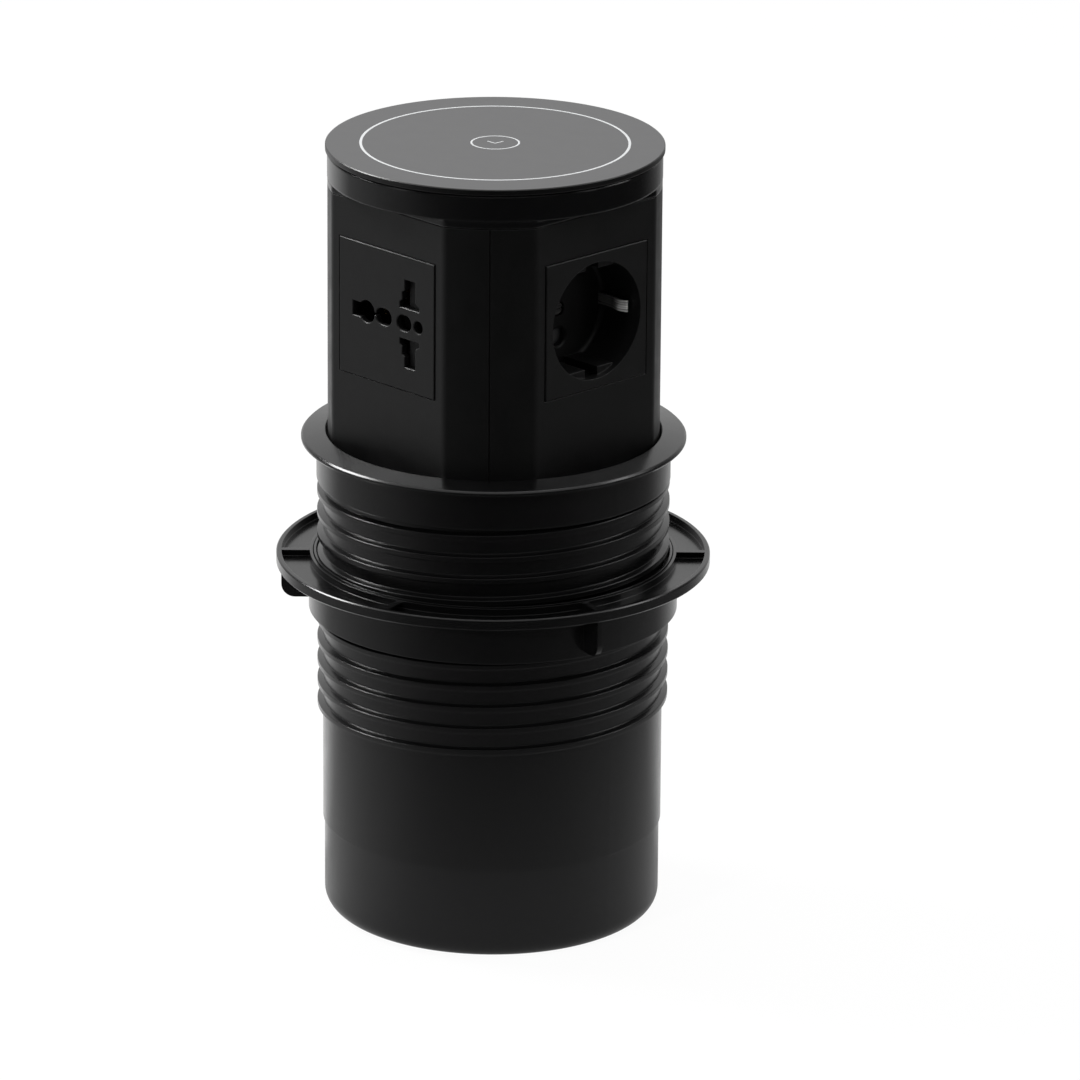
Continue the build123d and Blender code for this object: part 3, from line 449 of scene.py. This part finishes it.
def metalFinish(name, color, roughness, brushed=False, metallic=1.0, recessShadeReach=None):
    # Plated or drawn metal with fine scratches in its gloss, level ones where it is brushed.
    # the last argument is two distances from the tower's axis, for painted shade: the colour is dark inside
    # the first, where the piece lies deep in its recess, and at full tone past the second
    look = metalLook
    material, nodes, links, output = newMaterial(name)
    shader = nodes.new("ShaderNodeBsdfPrincipled")
    shader.inputs["Metallic"].default_value = metallic
    place = nodes.new("ShaderNodeTexCoord").outputs["Object"]
    stretch = nodes.new("ShaderNodeMapping")
    stretch.inputs["Scale"].default_value = look["brushedScale"] if brushed else look["plainScale"]
    links.new(place, stretch.inputs["Vector"])
    scratch = noiseOn(nodes, links, stretch.outputs[0], 1, look["scratchDetail"])
    smoothest, roughest = (roughness * share for share in look["glossShares"])
    links.new(evenRange(nodes, links, scratch, smoothest, roughest), shader.inputs["Roughness"])
    darkest = look["brushedDark"] if brushed else look["plainDark"]
    tone = evenRange(nodes, links, scratch, darkest, look["toneBright"], *look["toneRange"])
    # painted shade: the colour darkens towards the tower's axis, deep in the socket's recess
    if recessShadeReach:
        distance = lengthOf(nodes, links, levelPart(nodes, links, place))
        paintedRecessShade = smoothRange(nodes, links, distance, *recessShadeReach, look["recessShadeDark"], 1)
        tone = scalar(nodes, links, "MULTIPLY", tone, paintedRecessShade)
    links.new(tintBy(nodes, links, color, tone), shader.inputs["Base Color"])
    edges = softEdges(nodes, look["edge"])
    relief = reliefOn(nodes, links, scratch, edges, look["scratchRelief"], look["scratchDepth"])
    links.new(relief, shader.inputs["Normal"])
    links.new(shader.outputs[0], output.inputs[0])
    return material


def makeFinishes():
    black = (0.0021, 0.0021, 0.0022)
    grey = (0.05, 0.05, 0.052)
    return {
        "tower_plastic": plasticFinish("towerSatin", black, 0.42, grain=1.0, grainSize=0.5),
        "insert_plastic": plasticFinish("insertSatin", black, 0.45, grain=1.0, grainSize=0.5, edge=0.4),
        "sleeve_plastic": plasticFinish("sleeveGloss", black, 0.22, edge=0.45),
        "nut_plastic": plasticFinish("nutGloss", black, 0.2, edge=0.35),
        "lid_gloss": plasticFinish("bandGloss", black, 0.12, edge=0.8),
        "lid_disc": plasticFinish(
            "lidSatin", (0.046, 0.046, 0.047), 0.35, grain=0.2, grainSize=0.25, variation=0.03, edge=0.1,
            darkSides=True, drift=0.02),
        "print_grey": plasticFinish("printGrey", (0.5, 0.51, 0.515), 0.5, variation=0.05),
        "cup_plastic": plasticFinish("cupGloss", (0.0042, 0.0042, 0.0044), 0.24, edge=0.4),
        "shutter_plastic": plasticFinish("shutterSatin", black, 0.55),
        "inner_plastic": plasticFinish("innerGrey", grey, 0.5, grain=0.3),
        "tongue_plastic": plasticFinish("tongueWhite", (0.7, 0.7, 0.7), 0.4, variation=0.05),
        "gasket_rubber": plasticFinish("gasketFoam", black, 0.85, grain=1.0, grainSize=0.2, specular=0.3),
        "steel": metalFinish("screwSteel", (0.55, 0.55, 0.57), 0.35),
        # the earth clips' metal gets painted shade deep in the socket's recess, between 40.5 mm and 44.5 mm
        # from the tower's axis
        "bright_metal": metalFinish(
            "clipNickel", (0.9, 0.89, 0.87), 0.3, brushed=True, metallic=0.7, recessShadeReach=(40.5, 44.5)),
        "strut_metal": plasticFinish("strutPaint", (0.02, 0.02, 0.02), 0.3),
        "contact_brass": metalFinish("contactBrass", (0.72, 0.5, 0.22), 0.3, brushed=True),
        "coil_copper": metalFinish("coilCopper", (0.72, 0.32, 0.16), 0.35),
        "ferrite": plasticFinish("ferriteGrey", (0.06, 0.06, 0.065), 0.7, grain=0.6),
        "board_green": plasticFinish("boardGreen", (0.01, 0.12, 0.04), 0.35, variation=0.15),
    }


# Pieces whose finish differs a little from the rest of their slot
ownFinish = {
    "base_cup": "cup_plastic",
    "universal_shutter": "shutter_plastic",
    "universal_housing": "shutter_plastic",
}


def dressNodes(finishes):
    slots = {part["node"]: part["material_slot"] for part in frame["record"]["subparts"]}
    slots.update(ownFinish)
    for node, obj in frame["nodes"].items():
        obj.data.materials.clear()
        obj.data.materials.append(finishes[slots[node]])
    print("finishes on", len(slots), "nodes")


# Earth clips, one sprung strap in each round socket

earthClip = {
    "thickness": 0.8,
    "holeRadius": 1.55,
    "holeSides": 48,
    "edgeRound": 0.12,
    "bevelAngle": 50,
    "smoothAngle": 40,
    "endTolerance": 0.04,  # an edge this near to the bridge's end is the one that an arm grows from
    # forward from the bridge and outward from the socket's axis
    "arm": (
        (0.0, 17.2), (0.3, 18.0), (1.1, 18.3), (9.0, 18.3), (10.3, 17.8),
        (11.8, 17.15), (13.2, 17.15), (14.5, 17.6), (15.6, 18.3),
    ),
}


def selectEdge(obj, test):
    bpy.ops.object.mode_set(mode="OBJECT")
    for edge in obj.data.edges:
        ends = [obj.data.vertices[index].co for index in edge.vertices]
        edge.select = test((ends[0] + ends[1]) / 2)
    bpy.ops.object.mode_set(mode="EDIT")


def applyModifier(obj, kind, **settings):
    modifier = obj.modifiers.new(kind.title(), kind)
    for name, value in settings.items():
        setattr(modifier, name, value)
    bpy.ops.object.modifier_apply(modifier=modifier.name)


def buildEarthClip():
    # Drawn for the socket that faces +X: the bridge stands behind the recess, and both arms reach forward
    low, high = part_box("earth_clip_right")
    width = high.z - low.z
    bridge = low.x + earthClip["thickness"] * mm / 2
    middle = (low.z + high.z) / 2
    bpy.ops.object.select_all(action="DESELECT")
    facing = (0, fullTurn / 4, 0)
    armRoot = width / 2 - earthClip["endTolerance"] * mm
    bpy.ops.mesh.primitive_plane_add(size=width, location=(bridge, 0, middle), rotation=facing)
    clip = bpy.context.active_object
    bpy.ops.object.transform_apply()
    for side in (1, -1):
        forward, outward = 0, width / 2
        bpy.ops.object.mode_set(mode="EDIT")
        bpy.ops.mesh.select_mode(type="EDGE")
        bpy.ops.mesh.select_all(action="DESELECT")
        selectEdge(clip, lambda place: place.y * side > armRoot)
        for nextForward, nextOutward in earthClip["arm"]:
            step = (nextForward * mm - forward, (nextOutward * mm - outward) * side, 0)
            bpy.ops.mesh.extrude_region_move(TRANSFORM_OT_translate={"value": step})
            forward, outward = nextForward * mm, nextOutward * mm
        bpy.ops.object.mode_set(mode="OBJECT")
    applyModifier(clip, "SUBSURF", levels=2, boundary_smooth="PRESERVE_CORNERS")
    applyModifier(clip, "SOLIDIFY", thickness=earthClip["thickness"] * mm, offset=0, use_even_offset=True)
    bpy.ops.mesh.primitive_cylinder_add(
        vertices=earthClip["holeSides"], radius=earthClip["holeRadius"] * mm, depth=width,
        location=(bridge, 0, middle), rotation=facing)
    cutter = bpy.context.active_object
    bpy.context.view_layer.objects.active = clip
    applyModifier(clip, "BOOLEAN", object=cutter, operation="DIFFERENCE", solver="EXACT")
    bpy.data.objects.remove(cutter)
    applyModifier(
        clip, "BEVEL", width=earthClip["edgeRound"] * mm, segments=2, limit_method="ANGLE",
        angle_limit=math.radians(earthClip["bevelAngle"]))
    bpy.ops.object.select_all(action="DESELECT")
    clip.select_set(True)
    bpy.ops.object.shade_smooth_by_angle(angle=math.radians(earthClip["smoothAngle"]))
    return clip


def addEarthClips(finishes):
    for place, quarterTurns in (("right", 0), ("rear", 1)):
        clip = buildEarthClip()
        clip.name = "earthClip" + place.title()
        bpy.ops.object.mode_set(mode="EDIT")
        bpy.ops.mesh.select_all(action="SELECT")
        bpy.ops.transform.rotate(
            value=-quarterTurns * fullTurn / 4, orient_axis="Z", center_override=(0, 0, 0))
        bpy.ops.mesh.normals_make_consistent(inside=False)
        bpy.ops.object.mode_set(mode="OBJECT")
        clip.data.materials.append(finishes["bright_metal"])
        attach(clip, "tower")
        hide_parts("earth_clip_" + place)
        print(clip.name, "built, millimetres", millimetres(clip.dimensions))


# Spring under the latch's plunger; the real one shortens as the plunger goes down, and this coil is wound at
# one length

latchSpring = {"wireRadius": 0.35, "turns": 6, "wireSides": 10, "stepsPerTurn": 28, "smoothAngle": 50}


def addLatchSpring(finishes):
    low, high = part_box("latch_spring")
    middle = (low + high) / 2
    wire = latchSpring["wireRadius"] * mm
    coilRadius = (high.x - low.x) / 2 - wire
    start = low.z + wire
    bpy.ops.object.select_all(action="DESELECT")
    bpy.ops.mesh.primitive_circle_add(
        vertices=latchSpring["wireSides"], radius=wire, location=(middle.x + coilRadius, middle.y, start),
        rotation=(fullTurn / 4, 0, 0))
    spring = bpy.context.active_object
    spring.name = "latchSpringCoil"
    bpy.ops.object.transform_apply()
    bpy.context.scene.cursor.location = (middle.x, middle.y, start)
    bpy.ops.object.origin_set(type="ORIGIN_CURSOR")
    turns = latchSpring["turns"]
    rise = high.z - low.z - 2 * wire
    steps = latchSpring["stepsPerTurn"] * turns
    applyModifier(
        spring, "SCREW", angle=fullTurn * turns, screw_offset=rise, steps=steps, render_steps=steps)
    bpy.ops.object.transform_apply()
    bpy.ops.object.mode_set(mode="EDIT")
    bpy.ops.mesh.select_all(action="SELECT")
    bpy.ops.mesh.fill_holes(sides=0)
    bpy.ops.mesh.normals_make_consistent(inside=False)
    bpy.ops.object.mode_set(mode="OBJECT")
    bpy.ops.object.shade_smooth_by_angle(angle=math.radians(latchSpring["smoothAngle"]))
    spring.data.materials.clear()
    spring.data.materials.append(finishes["steel"])
    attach(spring, "housing")
    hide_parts("latch_spring")
    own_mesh(spring)
    print("latch spring wound, millimetres", millimetres(spring.dimensions))


bpy.context.scene.view_settings.view_transform = "Standard"
addCamera()
addFloor()
addTableCard()
addCurvedCard("frontCard", frontCard)
addCurvedCard("backCard", backCard)
print("cards set")
addWorld()
addLamps()
finishes = makeFinishes()
dressNodes(finishes)
addEarthClips(finishes)
addLatchSpring(finishes)
